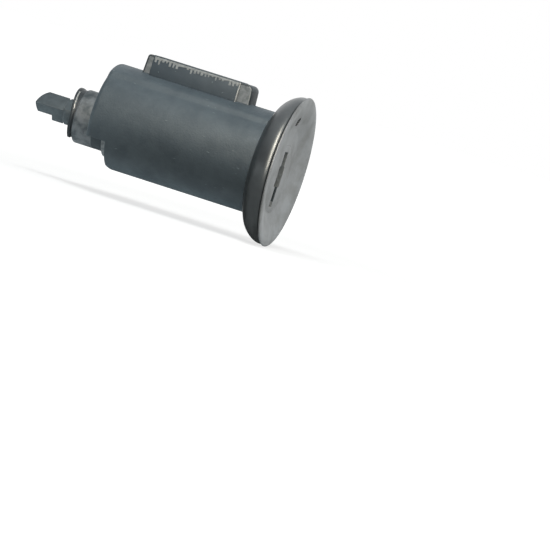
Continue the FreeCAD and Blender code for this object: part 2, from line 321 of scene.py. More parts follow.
def curve_through(points: Sequence[Point], steps: int) -> list[Point]:
    """A smooth line through points.

    Args:
        points: The points that the line passes, in order.
        steps: How many steps it takes from each to the next.

    Returns:
        The line's points, both ends included.
    """
    line: list[Point] = []
    padded = [points[0], *points, points[-1]]
    for before, here, there, after in zip(padded, padded[1:], padded[2:], padded[3:]):
        for t in (step / steps for step in range(steps)):
            line.append(tuple(
                0.5 * (2.0 * h + (n - b) * t + (2.0 * b - 5.0 * h + 4.0 * n - a) * t * t
                       + (3.0 * h - b - 3.0 * n + a) * t * t * t)
                for b, h, n, a in zip(before, here, there, after)))
    line.append(points[-1])
    return line


def arc(centre: Point, radius: float, first: float, last: float, steps: int) -> list[Point]:
    """Points along an arc.

    Args:
        centre: Its centre.
        radius: Its radius.
        first: Where it starts, in degrees from the first axis toward the second.
        last: Where it ends.
        steps: How many steps it takes.

    Returns:
        The arc's points, both ends included.
    """
    turns = [math.radians(first + (last - first) * i / steps) for i in range(steps + 1)]
    return [(centre[0] + radius * math.cos(t), centre[1] + radius * math.sin(t)) for t in turns]


def directions(angle: float) -> tuple[Vector, Vector]:
    """The way out from an axis, at an angle from straight up toward +X, and the way round from there."""
    turn = math.radians(angle)
    return Vector((math.sin(turn), 0.0, math.cos(turn))), Vector((math.cos(turn), 0.0, -math.sin(turn)))


def linear(colour: str) -> tuple[float, float, float, float]:
    """Turn an sRGB hex colour into linear red, green, blue and alpha."""
    shares = [int(colour[i:i + 2], 16) / 255.0 for i in (1, 3, 5)]
    return (*(s / 12.92 if s <= 0.04045 else ((s + 0.055) / 1.055) ** 2.4 for s in shares), 1.0)


def add_node(tree: bpy.types.NodeTree, kind: str, settings: dict[str, object] | None = None,
             **inputs: object) -> bpy.types.Node:
    """Add a shader node with its settings and links.

    Args:
        tree: The node tree.
        kind: The node's type, without the word ShaderNode before it.
        settings: Its own settings, by name.
        inputs: What each input gets, by name with underscores for spaces or by number as in_0: a value, a
            socket to link, or a node whose first output is linked.

    Returns:
        The new node.
    """
    node = tree.nodes.new("ShaderNode" + kind)
    for name, value in (settings or {}).items():
        setattr(node, name, value)
    for name, value in inputs.items():
        socket = node.inputs[int(name[3:]) if name.startswith("in_") else name.replace("_", " ")]
        if isinstance(value, bpy.types.Node):
            tree.links.new(value.outputs[0], socket)
        elif isinstance(value, bpy.types.NodeSocket):
            tree.links.new(value, socket)
        else:
            socket.default_value = value
    return node


def empty_tree(owner: bpy.types.Material | bpy.types.World) -> bpy.types.NodeTree:
    """Give a material or the world an empty node tree.

    Args:
        owner: The material or the world.

    Returns:
        Its tree.
    """
    owner.use_nodes = True
    owner.node_tree.nodes.clear()
    return owner.node_tree


# Settings that several nodes share
MULTIPLY = {"operation": "MULTIPLY"}
MAXIMUM = {"operation": "MAXIMUM"}
SOFT_STEP = {"interpolation_type": "SMOOTHSTEP"}
COLOURS = {"data_type": "RGBA"}     # then a Mix takes its share as in_0 and the two colours as in_6 and in_7
MIXED = 2                           # the number of its colour output

# Where each noise pattern begins to show and where it shows in full, as values of the noise
PATCHES_SHOW = {"From_Min": 0.35, "From_Max": 0.68}
BREAKUP_SHOWS = {"From_Min": 0.35, "From_Max": 0.62}
GLOSS_DRIFTS = {"From_Min": 0.3, "From_Max": 0.7}
SPECK_SOFTNESS = 0.08
# An edge shows as worn from the first cosine between its flat and its rounded normal to the second.
WEAR_SHOWS = {"From_Min": 0.995, "From_Max": 0.93}
BREAKUP_SCALE = 1.0 / (0.9 * MM)    # worn edges are broken up about every 0.9 mm
NOISE_ROUGHNESS = 0.6
BEVEL_SAMPLES = 6


@dataclass(frozen=True)
class Finish:
    """A metal's finish: its colours, gloss, grain and wear. The IOR stays at its default, as for a metal."""

    name: str
    colour: str                     # the metal itself
    second: str                     # what its patches drift to
    metallic: float
    roughness: float
    roughness_drift: float          # added in the patches
    patch_mm: float                 # size of the patches
    grain_mm: float                 # size of the fine grain
    grain_depth_mm: float
    second_share: float = 0.5       # how strongly the patches show
    edge: str = ""                  # the colour of its worn edges, where it has any
    edge_share: float = 0.6
    edge_mm: float = 0.12           # how wide the wear is, and how round the edges look
    stretch: Place = (1.0, 1.0, 1.0)    # the grain's, along each axis
    specks: str = ""                # the colour of small marks, where it has any
    speck_mm: float = 0.5
    speck_from: float = 0.7         # the noise above which one begins to show
    speck_stretch: Place = (1.0, 1.0, 1.0)
    specular: float = 0.5

    def colours(self, tree: bpy.types.NodeTree, place: bpy.types.NodeSocket, patches: bpy.types.Node,
                soft: bpy.types.Node) -> bpy.types.NodeSocket:
        """Lay patches, specks and worn edges over the metal's colour.

        Args:
            tree: The node tree.
            place: Object coordinates, in metres.
            patches: The noise of the patches.
            soft: The normal with its edges rounded.

        Returns:
            The socket of the surface's colour.
        """
        share = add_node(tree, "MapRange", SOFT_STEP, Value=patches, To_Max=self.second_share,
                         **PATCHES_SHOW)
        colour = add_node(tree, "Mix", COLOURS, in_0=share, in_6=linear(self.colour),
                          in_7=linear(self.second)).outputs[MIXED]
        if self.specks:
            stretched = add_node(tree, "Mapping", Vector=place, Scale=self.speck_stretch)
            noise = add_node(tree, "TexNoise", Vector=stretched, Scale=1.0 / (self.speck_mm * MM),
                             Detail=1.0, Roughness=NOISE_ROUGHNESS)
            speck = add_node(tree, "MapRange", SOFT_STEP, Value=noise, From_Min=self.speck_from,
                             From_Max=self.speck_from + SPECK_SOFTNESS)
            colour = add_node(tree, "Mix", COLOURS, in_0=speck, in_6=colour,
                              in_7=linear(self.specks)).outputs[MIXED]
        if self.edge:
            flat = add_node(tree, "NewGeometry").outputs["Normal"]
            cosine = add_node(tree, "VectorMath", {"operation": "DOT_PRODUCT"}, in_0=flat, in_1=soft)
            worn = add_node(tree, "MapRange", SOFT_STEP, Value=cosine.outputs["Value"], **WEAR_SHOWS)
            noise = add_node(tree, "TexNoise", Vector=place, Scale=BREAKUP_SCALE, Detail=4.0,
                             Roughness=NOISE_ROUGHNESS)
            breakup = add_node(tree, "MapRange", SOFT_STEP, Value=noise, To_Max=self.edge_share,
                               **BREAKUP_SHOWS)
            share = add_node(tree, "Math", MULTIPLY, in_0=worn, in_1=breakup)
            colour = add_node(tree, "Mix", COLOURS, in_0=share, in_6=colour,
                              in_7=linear(self.edge)).outputs[MIXED]
        return colour

    @cache
    def material(self) -> bpy.types.Material:
        """Make the material when it is first asked for, and give the same one again later.

        Returns:
            The node material of this finish.
        """
        material = bpy.data.materials.new(self.name)
        tree = empty_tree(material)
        place = add_node(tree, "TexCoord").outputs["Object"]
        patches = add_node(tree, "TexNoise", Vector=place, Scale=1.0 / (self.patch_mm * MM), Detail=4.0,
                           Roughness=NOISE_ROUGHNESS)
        soft = add_node(tree, "Bevel", {"samples": BEVEL_SAMPLES}, Radius=self.edge_mm * MM)
        stretched = add_node(tree, "Mapping", Vector=place, Scale=self.stretch)
        grain = add_node(tree, "TexNoise", Vector=stretched, Scale=1.0 / (self.grain_mm * MM),
                         Detail=3.0, Roughness=NOISE_ROUGHNESS)
        bump = add_node(tree, "Bump", Strength=1.0, Distance=self.grain_depth_mm * MM, Height=grain,
                        Normal=soft)
        rough = add_node(tree, "MapRange", Value=patches, To_Min=self.roughness,
                         To_Max=self.roughness + self.roughness_drift, **GLOSS_DRIFTS)
        shader = add_node(tree, "BsdfPrincipled", Base_Color=self.colours(tree, place, patches, soft),
                          Metallic=self.metallic, Roughness=rough, Normal=bump,
                          Specular_IOR_Level=self.specular)
        add_node(tree, "OutputMaterial", Surface=shader)
        return material


# Zinc die casting, dipped dark: matte, blue-grey and slightly grainy, with paler rubbed corners.
CAST_HOUSING = Finish("dark_die_casting", "#5c676c", "#49545a", 0.15, 0.44, 0.10, 5.0, 0.40, 0.045,
                      second_share=0.6, edge="#7d878b", edge_share=0.4, edge_mm=0.2, specular=0.26,
                      specks="#778185", speck_mm=0.45, speck_from=0.732, speck_stretch=(1.0, 0.3, 1.0))
# The same casting where it was rubbed bare: paler, with a soft grey gloss. On the bore wall in the notch it
# is partly painted light.
RUBBED_CASTING = Finish("rubbed_die_casting", "#8e9496", "#6e7577", 0.2, 0.46, 0.12, 0.9, 0.28, 0.014,
                        second_share=0.9, edge="#b4b9b9", edge_share=0.6, edge_mm=0.15, specular=0.3)
# Painted shade: the casting made nearly black and dull, standing in for shade on the rib's caps, the collar
# inside the barrel and the spring cover's top.
PAINTED_SHADE = Finish("painted_shade_dark_casting", "#475054", "#3c4347", 0.15, 0.5, 0.10, 1.5, 0.3, 0.02, specular=0.3)
# Plated brass turning, polished and darkened by age: it mirrors its surroundings with a warm highlight.
POLISHED_RING = Finish("polished_plating", "#6e7375", "#5b6063", 0.90, 0.29, 0.08, 3.2, 0.2, 0.0012,
                       edge="#a29f98", edge_share=0.5)
# Stainless disc, satin brushed and rubbed by use: soft grey gloss with faint fine scratches.
SATIN_FACE = Finish("satin_stainless", "#898d8f", "#777a7a", 0.55, 0.50, 0.10, 4.5, 0.22, 0.003,
                    second_share=0.85, stretch=(1.0, 1.0, 0.12), edge="#a9abaa", edge_share=0.5)
# Plated plug casting: worn paler at its edges, and dull.
PLUG_METAL = Finish("worn_plug_casting", "#566064", "#4a5357", 0.30, 0.46, 0.14, 1.6, 0.2, 0.010,
                    edge="#8f9597", edge_share=0.5, second_share=0.8, specular=0.3)
# Collar casting: rubbed metal with dull grey stains.
COLLAR_METAL = Finish("rubbed_collar_casting", "#7a8083", "#4a5357", 0.40, 0.46, 0.14, 2.2, 0.22, 0.012,
                      second_share=1.0, edge="#a9adad", edge_share=0.5, specular=0.35)
# Spring steel clip: darkened, with faintly rubbed edges.
CLIP_STEEL = Finish("dark_spring_steel", "#3d4448", "#32383c", 0.5, 0.36, 0.12, 1.2, 0.15, 0.003,
                    edge="#8b9193", edge_share=0.4, edge_mm=0.08)
# Pressed steel strip: dark and dull, with a few pale flecks.
COVER_STEEL = Finish("dark_strip_steel", "#58636a", "#4f5a60", 0.2, 0.48, 0.12, 2.4, 0.2, 0.008,
                     specks="#7a8488", speck_mm=0.6, speck_from=0.695, specular=0.22)
# Metal that was squeezed over the strip by staking and rubbed bright. On the plug's mouth walls it stands as
# painted light.
STAKED_METAL = Finish("rubbed_staked_edge", "#a3a9a9", "#868d8e", 0.2, 0.46, 0.12, 0.5, 0.15, 0.012,
                      second_share=0.7)
# Painted highlight: a near-white line on a cut or rolled edge, standing in for the glint of light there.
PAINTED_HIGHLIGHT_STEEL = Finish("painted_highlight_edge", "#e6e7e2", "#b4b7b3", 0.2, 0.40, 0.10, 0.5, 0.15, 0.004,
                    second_share=0.9)
# Turned brass pins: yellow and glossy.
PIN_BRASS = Finish("turned_brass", "#c2a25a", "#a9873f", 1.0, 0.28, 0.10, 1.0, 0.12, 0.002)
# Drawn spring wire: grey and glossy.
SPRING_WIRE = Finish("drawn_wire", "#8d9093", "#74777a", 1.0, 0.30, 0.10, 0.8, 0.12, 0.002)

SLOT_FINISHES = {
    "cast_housing": CAST_HOUSING, "bezel_polish": POLISHED_RING, "face_satin": SATIN_FACE,
    "plug_metal": PLUG_METAL, "collar_metal": COLLAR_METAL, "clip_steel": CLIP_STEEL,
    "cover_steel": COVER_STEEL, "pin_brass": PIN_BRASS, "spring_steel": SPRING_WIRE,
}


def reach(node: str) -> tuple[Vector, Vector]:
    """The lowest and highest corners of a solid at rest, in millimetres."""
    low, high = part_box(node)
    return low / MM, high / MM


@dataclass(frozen=True)
class LockSizes:
    """The sizes that the lock's pieces share, in millimetres, as in the solids."""

    axis_z: float = -1.6            # the plug's axis, below the barrel's
    barrel_radius: float = 9.4
    barrel_length: float = reach("housing")[1].y
    disc_back: float = -2.5         # the barrel and the disc's spigot meet this far in front of the origin
    spigot_radius: float = 12.6
    head_front: float = reach("plug")[0].y
    head_seat: float = -0.7
    plug_radius: float = 5.1
    bore_radius: float = 5.15
    head_bore_radius: float = 6.45
    web_bore_radius: float = 2.5
    web_front: float = 28.0
    rear_seat: float = 29.2
    collar_front: float = reach("tail_collar")[0].y
    collar_rear: float = reach("tail_collar")[1].y
    clip_rear: float = reach("retaining_clip")[1].y
    groove_radius: float = 1.8      # of the hub's groove, which the clip's prongs bear on
    first_pin: float = 9.7
    pin_pitch: float = 3.3
    pin_count: int = 5
    chamber_radius: float = 1.28
    cover_front: float = 7.75
    cover_rear: float = 24.85
    cover_seat: float = 12.83
    rib_half_width: float = 2.6
    hole_radius: float = 0.9
    hole_height: float = 9.4


SIZES = LockSizes()


def pin_chambers(low: float, high: float) -> list[Solid]:
    """The pin chambers, as cutters.

    Args:
        low: Where they start, in millimetres above the barrel's axis.
        high: Where they end.

    Returns:
        One cylinder for each chamber.
    """
    columns = []
    for i in range(SIZES.pin_count):
        deselect_everything()
        bpy.ops.mesh.primitive_cylinder_add(
            vertices=FINE_SIDES, radius=SIZES.chamber_radius * MM, depth=(high - low) * MM,
            location=(0.0, (SIZES.first_pin + i * SIZES.pin_pitch) * MM, (low + high) / 2.0 * MM))
        columns.append(bpy.context.object)
        apply_placing(columns[-1])
    return columns


class Piece:
    """A piece of the lock that is modelled here, in place of a plain solid where it names a node."""

    name = "piece"
    node = ""
    slot = ""
    body = Body.HOUSING
    finishes: tuple[Finish, ...] = ()

    def model(self) -> Solid:
        """Model the piece.

        Returns:
            The finished object.
        """
        raise NotImplementedError

    def finish_of(self, face: bpy.types.MeshPolygon) -> Finish:
        """The finish of a face: as marked in modelling, unless the piece chooses it by place and normal."""
        return self.finishes[face.material_index]

    def dress(self, piece: Solid) -> None:
        """Give the piece its materials, and each face the one of its finish.

        Args:
            piece: The finished object.
        """
        for finish in self.finishes:
            piece.data.materials.append(finish.material())
        for face in piece.data.polygons:
            face.material_index = self.finishes.index(self.finish_of(face))

    def build(self) -> int:
        """Model and dress the piece, tie it to its body, and hide the node that it stands in for.

        Returns:
            How many faces it has.
        """
        piece = self.model()
        piece.name = self.name
        make_active(piece)
        bpy.ops.object.shade_smooth_by_angle(angle=SMOOTH_ANGLE)
        self.dress(piece)
        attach(piece, self.body.value)
        if self.node:
            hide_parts(self.node)
        return len(piece.data.polygons)


@dataclass
class Housing(Piece):
    """The cast barrel with its raised band and rib, bored for the plug and the pins."""

    name = "cast_housing"
    node = "housing"
    slot = "cast_housing"
    finishes = (CAST_HOUSING, RUBBED_CASTING, STAKED_METAL, PAINTED_SHADE)

    rear_round: float = 0.9
    round_steps: int = 6
    pad_radius: float = 9.9
    pad_half_angle: float = 31.0    # degrees from the top, where the band's level part ends
    pad_foot_angle: float = 42.0    # and where its soft edge meets the barrel
    rib_front: float = 5.0
    rib_rear: float = 26.4
    rib_top: float = 13.2
    rib_foot: float = 8.0
    rib_lean: float = 0.25
    rib_front_round: float = 1.1
    rib_rear_round: float = 0.6
    rib_edge_round: float = 0.22
    notch_front: float = 27.6
    notch_ceiling: float = -4.5
    notch_chamfer: float = 0.6
    notch_wall: float = 0.75        # left round the bore where the notch runs past the collar's seat
    rubbed_above: float = 10.0      # the rib's sides are rubbed above this height, and its other faces there are painted dark as shade
    rubbed_insets: Span = (0.38, 0.14)  # round the rubbed part of the front and the rear end
    rubbed_area: float = 2.25       # smaller faces stay unrubbed, in square millimetres
    sideways: float = 0.98          # a face looks sideways where its normal's x is over this

    def barrel(self) -> Solid:
        """Shape a ring with the raised band pulled out, draw it along and round its rear edge.

        Returns:
            The barrel's solid.
        """
        deselect_everything()
        front = Vector((0.0, SIZES.disc_back, 0.0)) * MM
        bpy.ops.mesh.primitive_circle_add(vertices=2 * ROUND_SIDES, radius=SIZES.barrel_radius * MM,
                                          location=front, rotation=(math.pi / 2.0, 0.0, 0.0))
        ring = bpy.context.object
        apply_placing(ring)
        rise = self.pad_radius / SIZES.barrel_radius - 1.0
        span = self.pad_foot_angle - self.pad_half_angle
        slices = 2 * round(span) + 2
        limits = [self.pad_foot_angle - span * (i + 0.5) / slices for i in range(slices)]
        limits.append(-1.0)     # the last slice is all that is left, up to the top
        rear_arc = arc((self.pad_radius - self.rear_round, 0.0), self.rear_round, 0.0, 90.0, self.round_steps)
        with edit_mode(ring):
            for i, (outer, inner) in enumerate(zip(limits, limits[1:])):
                share = (i + 1) / slices
                factor = 1.0 + rise * (3.0 * share ** 2 - 2.0 * share ** 3)
                select_vertices(ring, lambda v: inner < abs(math.degrees(math.atan2(v.x, v.z))) <= outer)
                bpy.ops.transform.resize(value=(factor, 1.0, factor), center_override=front)
            bpy.ops.mesh.select_all(action="SELECT")
            bpy.ops.mesh.edge_face_add()
            extrude(Vector((0.0, SIZES.barrel_length - self.rear_round - SIZES.disc_back, 0.0)))
            for (before, start), (after, end) in zip(rear_arc, rear_arc[1:]):
                extrude(Vector((0.0, end - start, 0.0)))
                bpy.ops.transform.resize(value=(after / before, 1.0, after / before),
                                         center_override=(0.0, 0.0, 0.0))
        close_up(ring)
        return ring

    def rib(self) -> Solid:
        """Draw the rib's side outline across, soften its edges and cut the seat of the spring cover.

        Returns:
            The rib's solid.
        """
        front, rear = self.rib_front + self.rib_lean, self.rib_rear - self.rib_lean
        r, q, half = self.rib_front_round, self.rib_rear_round, SIZES.rib_half_width
        outline = [(self.rib_front, self.rib_foot),
                   *arc((front + r, self.rib_top - r), r, 180.0, 90.0, self.round_steps),
                   *arc((rear - q, self.rib_top - q), q, 90.0, 0.0, self.round_steps),
                   (self.rib_rear, self.rib_foot)]
        rib = prism("rib", [Vector((-half, y, z)) for y, z in outline], Vector((2.0 * half, 0.0, 0.0)))
        round_edges(rib, self.rib_edge_round)
        seat = block("seat", Vector((-half - BEYOND, SIZES.cover_front, SIZES.cover_seat)),
                     Vector((half + BEYOND, SIZES.cover_rear, self.rib_top + BEYOND)))
        combine(rib, [seat], Change.CUT)
        return rib

    def bores(self) -> list[Solid]:
        """What is bored along the lock: the plug's bores about its axis, and the release hole's groove.

        Returns:
            One cutter for each.
        """
        z, front = SIZES.axis_z, SIZES.disc_back - BEYOND
        return [
            rod("head_seat", SIZES.head_bore_radius, front, SIZES.head_seat, z),
            rod("bore", SIZES.bore_radius, front, SIZES.web_front, z),
            rod("web_bore", SIZES.web_bore_radius, SIZES.web_front - BEYOND, SIZES.rear_seat + BEYOND, z,
                WEB_SIDES),
            rod("collar_seat", SIZES.bore_radius, SIZES.rear_seat, SIZES.barrel_length + BEYOND, z),
            rod("release_groove", SIZES.hole_radius, front, self.rib_front, SIZES.hole_height, FINE_SIDES),
        ]

    def notch(self) -> Solid:
        """Shape the cut-away below the rear end, which leaves the wall of the bore before the collar's seat.

        Returns:
            The cutter.
        """
        low, rear = -SIZES.barrel_radius, SIZES.barrel_length + BEYOND
        half = SIZES.barrel_radius + BEYOND
        outline = [(rear, self.notch_ceiling), (rear, low - BEYOND),
                   (self.notch_front - self.notch_chamfer - BEYOND, low - BEYOND),
                   (self.notch_front, low + self.notch_chamfer), (self.notch_front, self.notch_ceiling)]
        notch = prism("notch", [Vector((-half, y, z)) for y, z in outline], Vector((2.0 * half, 0.0, 0.0)))
        wall = rod("wall", SIZES.bore_radius + self.notch_wall, self.notch_front - BEYOND, SIZES.rear_seat,
                   SIZES.axis_z)
        combine(notch, [wall], Change.CUT)
        return notch

    def model(self) -> Solid:
        """Model the housing.

        Returns:
            The finished object.
        """
        housing = self.barrel()
        combine(housing, [self.rib()], Change.ADD)
        chambers = pin_chambers(SIZES.axis_z, self.rib_top + BEYOND)
        combine(housing, [*self.bores(), *chambers, self.notch()], Change.CUT)
        self.mark_faces(housing)
        return housing

    def on_rib_side(self, face: bmesh.types.BMFace, at_front: bool) -> bool:
        """Whether a face is the large side of one of the rib's end blocks.

        Args:
            face: A face of the housing.
            at_front: Whether the front or the rear block is asked for.

        Returns:
            True if it is.
        """
        place = face.calc_center_median() / MM
        middle = (self.rib_front + self.rib_rear) / 2.0
        return (abs(face.normal.x) > self.sideways and abs(abs(place.x) - SIZES.rib_half_width) < NEAR
                and place.z > self.rubbed_above and (place.y < middle) == at_front
                and face.calc_area() > self.rubbed_area * MM ** 2)

    def on_bore_wall(self, place: Vector) -> bool:
        """Whether a place lies on the wall of the bore that the notch lays bare.

        Args:
            place: The place, in millimetres.

        Returns:
            True if it does.
        """
        radius = math.hypot(place.x, place.z - SIZES.axis_z)
        return (abs(radius - SIZES.bore_radius - self.notch_wall) < NEAR and place.z < self.notch_ceiling
                and self.notch_front < place.y < SIZES.rear_seat)

    def mark_faces(self, housing: Solid) -> None:
        """Inset the sides of the rib's ends, and mark what is rubbed, what is staked and what is painted dark
        as shade; the bore wall in the notch is marked paler, partly as painted light.

        Args:
            housing: The finished housing.
        """
        rubbed, staked, painted_shade_index = (self.finishes.index(f) for f in (RUBBED_CASTING, STAKED_METAL, PAINTED_SHADE))
        with edit_mode(housing):
            bpy.ops.mesh.select_mode(type="FACE")
            for at_front, inset in zip((True, False), self.rubbed_insets):
                bpy.ops.mesh.select_all(action="DESELECT")
                for face in bmesh.from_edit_mesh(housing.data).faces:
                    face.select = self.on_rib_side(face, at_front)
                bmesh.update_edit_mesh(housing.data)
                bpy.ops.mesh.inset(thickness=inset * MM, depth=0.0)
                for face in bmesh.from_edit_mesh(housing.data).faces:
                    if face.select:
                        face.material_index = rubbed
                bmesh.update_edit_mesh(housing.data)
            for face in bmesh.from_edit_mesh(housing.data).faces:
                place = face.calc_center_bounds() / MM
                # The bore wall that the notch lays bare gets the paler finish: partly bare metal, partly
                # painted light where it catches light under the notch's ceiling.
                if self.on_bore_wall(place):
                    face.material_index = rubbed
                # Above that height the rib's faces that are neither rubbed nor staked are painted dark as
                # shade.
                on_rib = place.z > self.rubbed_above and abs(place.x) < SIZES.rib_half_width + NEAR
                if on_rib and face.material_index != rubbed:
                    front_strip = (abs(face.normal.x) > self.sideways
                                   and place.y < self.rib_front + self.rib_front_round)
                    face.material_index = staked if front_strip else painted_shade_index
            bmesh.update_edit_mesh(housing.data)


@dataclass
class BezelRing(Piece):
    """The polished ring behind the face: a bright bead and a domed back."""

    name = "polished_bezel_ring"
    node = "bezel_ring"
    slot = "bezel_polish"
    finishes = (POLISHED_RING,)

    bead: tuple[Point, ...] = ((13.5, -4.72), (13.82, -4.6), (13.97, -4.25), (13.98, -3.8), (13.86, -3.3),
                               (13.58, -2.7), (13.2, -2.12), (12.7, -1.55), (12.1, -1.05), (11.4, -0.65),
                               (10.5, -0.27), (9.75, -0.07), (9.4, 0.0))
    bead_steps: int = 5
    barrel_gap: float = 0.01

    def model(self) -> Solid:
        """Model the ring.

        Returns:
            The finished object.
        """
        profile = [(SIZES.spigot_radius, self.bead[0][1]), *curve_through(self.bead, self.bead_steps),
                   (SIZES.barrel_radius + self.barrel_gap, SIZES.disc_back),
                   (SIZES.spigot_radius, SIZES.disc_back)]
        ring = turned("bezel_ring", profile)
        groove = rod("groove", SIZES.hole_radius, SIZES.disc_back - BEYOND, BEYOND, SIZES.hole_height,
                     FINE_SIDES)
        combine(ring, [groove], Change.CUT)
        return ring


@dataclass
class FaceDisc(Piece):
    """The satin face: a rounded rim, a shallow dish, the plug's opening and the release hole."""

    name = "satin_face_disc"
    node = "face_disc"
    slot = "face_satin"
    finishes = (SATIN_FACE,)

    rim: tuple[Point, ...] = ((14.08, -4.78), (14.18, -4.83), (14.2, -4.92), (14.15, -5.02), (14.0, -5.09),
                              (13.75, -5.1))
    rim_steps: int = 4
    dish: tuple[Point, ...] = ((13.75, -5.1), (13.1, -5.06), (11.6, -4.74), (9.9, -4.18), (8.15, -3.7))
    dish_steps: int = 6
    core_radius: float = 4.0        # of the hole in the turned disc, which the plug's opening widens
    opening_sides: int = 238        # with as many facets as the disc has, its cut leaves gaps at their seams

    def model(self) -> Solid:
        """Model the disc.

        Returns:
            The finished object.
        """
        profile = [(SIZES.spigot_radius, SIZES.disc_back), (SIZES.spigot_radius, self.rim[0][1]),
                   *curve_through(self.rim, self.rim_steps), *curve_through(self.dish, self.dish_steps)[1:],
                   (self.core_radius, SIZES.head_front), (self.core_radius, SIZES.disc_back)]
        disc = turned("face_disc", profile)
        front, back = SIZES.head_front - 2.0 * BEYOND, SIZES.disc_back + BEYOND
        opening = rod("opening", SIZES.head_bore_radius, front, back, SIZES.axis_z, self.opening_sides)
        hole = rod("hole", SIZES.hole_radius, front, back, SIZES.hole_height, HOLE_SIDES)
        combine(disc, [opening, hole], Change.CUT)
        return disc


@dataclass
class Plug(Piece):
    """The turning plug: its head in the face, the stepped blade slot, the hub and the tang."""

    name = "worn_turning_plug"
    node = "plug"
    slot = "plug_metal"
    body = Body.PLUG
    finishes = (PLUG_METAL, SATIN_FACE, STAKED_METAL)

    head_radius: float = 6.435
    head_back: float = -0.75
    head_edge: float = 0.02
    edge_steps: int = 4
    web_gap: float = 0.05
    hollow_radius: float = 1.0      # head and body are turned hollow, since cuts leave gaps in solid ones
    core_radius: float = 1.4        # and this core fills them,
    core_inset: float = 0.3         # which ends short of the front and the rear,
    face_core_radius: float = 1.2   # with a short one at the front
    face_core_length: float = 0.6
    slot_half_width: float = 1.05
    slot_half_height: float = 4.4
    slot_end: float = 25.5
    mouth_depth: float = 2.1
    mouth: tuple[tuple[float, float, float], ...] = (
        (1.3, 0.0, 5.1), (2.0, -1.6, 2.3), (0.95, -5.4, 0.0))   # half-width, and from and to above the axis
    chamber_floor: float = -1.0
    hub_radius: float = 2.45
    hub_flat: float = 1.9           # from the axis to each of its two flats
    hub_rear: float = 38.7
    hub_angle: float = 45.0         # of the flats, which lie along the tang's sides
    shoulder_groove: float = 0.22   # width and depth of the fine groove before the tang
    tang_rear: float = 44.2
    tang_step: float = 2.2
    tang_lower: float = 1.55
    tip_radius: float = 2.8
    tip_steps: int = 32
    edge_round: float = 0.22
    overlap: float = 0.01           # the tang runs this far into the hub
    wall_facing: float = 0.9        # a mouth's wall is where the normal's x is over this
    wall_reach: float = 0.5         # and the place is within this share of the head's radius

    def turned_parts(self) -> Solid:
        """Turn the head and the body in one.

        Returns:
            Their solid.
        """
        front, r, e = SIZES.head_front, self.head_radius, self.head_edge
        rear, hollow = SIZES.web_front - self.web_gap, self.hollow_radius
        profile = [(hollow, front), *arc((r - e, front + e), e, -90.0, 0.0, self.edge_steps),
                   (r, self.head_back), (SIZES.plug_radius, self.head_back), (SIZES.plug_radius, rear),
                   (hollow, rear)]
        body = turned("plug", profile, SIZES.axis_z)
        core = rod("core", self.core_radius, front + self.core_inset, SIZES.web_front - self.core_inset,
                   SIZES.axis_z)
        face_core = rod("face_core", self.face_core_radius, front, front + self.face_core_length,
                        SIZES.axis_z)
        combine(body, [core, face_core], Change.ADD)
        return body

    def slots(self) -> list[Solid]:
        """Shape the stepped mouth in the head and the slot behind it.

        Returns:
            One cutter for each width.
        """
        z, front, rise = SIZES.axis_z, SIZES.head_front - BEYOND, self.slot_half_height
        widths = [(*width, SIZES.head_front + self.mouth_depth) for width in self.mouth]
        widths.append((self.slot_half_width, -rise, rise, self.slot_end))
        return [block("slot", Vector((-half, front, z + low)), Vector((half, back, z + high)))
                for half, low, high, back in widths]

    def hub(self) -> Solid:
        """Turn the hub, with the clip's groove and a fine groove before the tang, and cut its flats.

        Returns:
            The hub's solid.
        """
        start, end, z, r = SIZES.web_front - BEYOND, self.hub_rear, SIZES.axis_z, self.hub_radius
        fine, low, far = self.shoulder_groove, SIZES.groove_radius, 2.0 * self.hub_radius
        profile = [(0.0, start), (r, start), (r, SIZES.collar_rear), (low, SIZES.collar_rear),
                   (low, SIZES.clip_rear), (r, SIZES.clip_rear), (r, end - 2.0 * fine),
                   (r - fine, end - fine), (r - fine, end), (0.0, end)]
        hub = turned("hub", profile, z)
        along, across = directions(self.hub_angle)
        base = Vector((0.0, start - BEYOND, z))
        outline = [base + across * u * self.hub_flat + along * v * far
                   for u, v in ((-1, -1), (1, -1), (1, 1), (-1, 1))]
        slab = prism("slab", outline, Vector((0.0, end - start + 2.0 * BEYOND, 0.0)))
        combine(hub, [slab], Change.KEEP)
        return hub

    def tang(self) -> Solid:
        """Shape the square tang on edge, stepped below and rounded at its tip.

        Returns:
            The tang's solid.
        """
        z, h, start = SIZES.axis_z, self.hub_radius, self.hub_rear - self.overlap
        far = 2.0 * h
        corners = [Vector((x, start, z + dz)) for x, dz in ((-h, 0.0), (0.0, -h), (h, 0.0), (0.0, h))]
        tang = prism("tang", corners, Vector((0.0, self.tang_rear - start, 0.0)))
        foot = self.hub_rear + self.tang_step
        low = math.degrees(math.asin(self.tang_lower / self.tip_radius))
        tip = arc((self.tang_rear - self.tip_radius, 0.0), self.tip_radius, 90.0, -low, self.tip_steps)
        outline = [(start - BEYOND, self.tip_radius), *tip, (foot, -self.tang_lower), (foot, -far),
                   (start - BEYOND, -far)]
        side = [Vector((-far, y, z + up)) for y, up in outline]
        combine(tang, [prism("side_view", side, Vector((2.0 * far, 0.0, 0.0)))], Change.KEEP)
        round_edges(tang, self.edge_round)
        return tang

    def model(self) -> Solid:
        """Model the plug.

        Returns:
            The finished object.
        """
        plug = self.turned_parts()
        combine(plug, [self.hub(), self.tang()], Change.ADD)
        chambers = pin_chambers(self.chamber_floor, SIZES.axis_z + SIZES.plug_radius + BEYOND)
        combine(plug, [*self.slots(), *chambers], Change.CUT)
        return plug

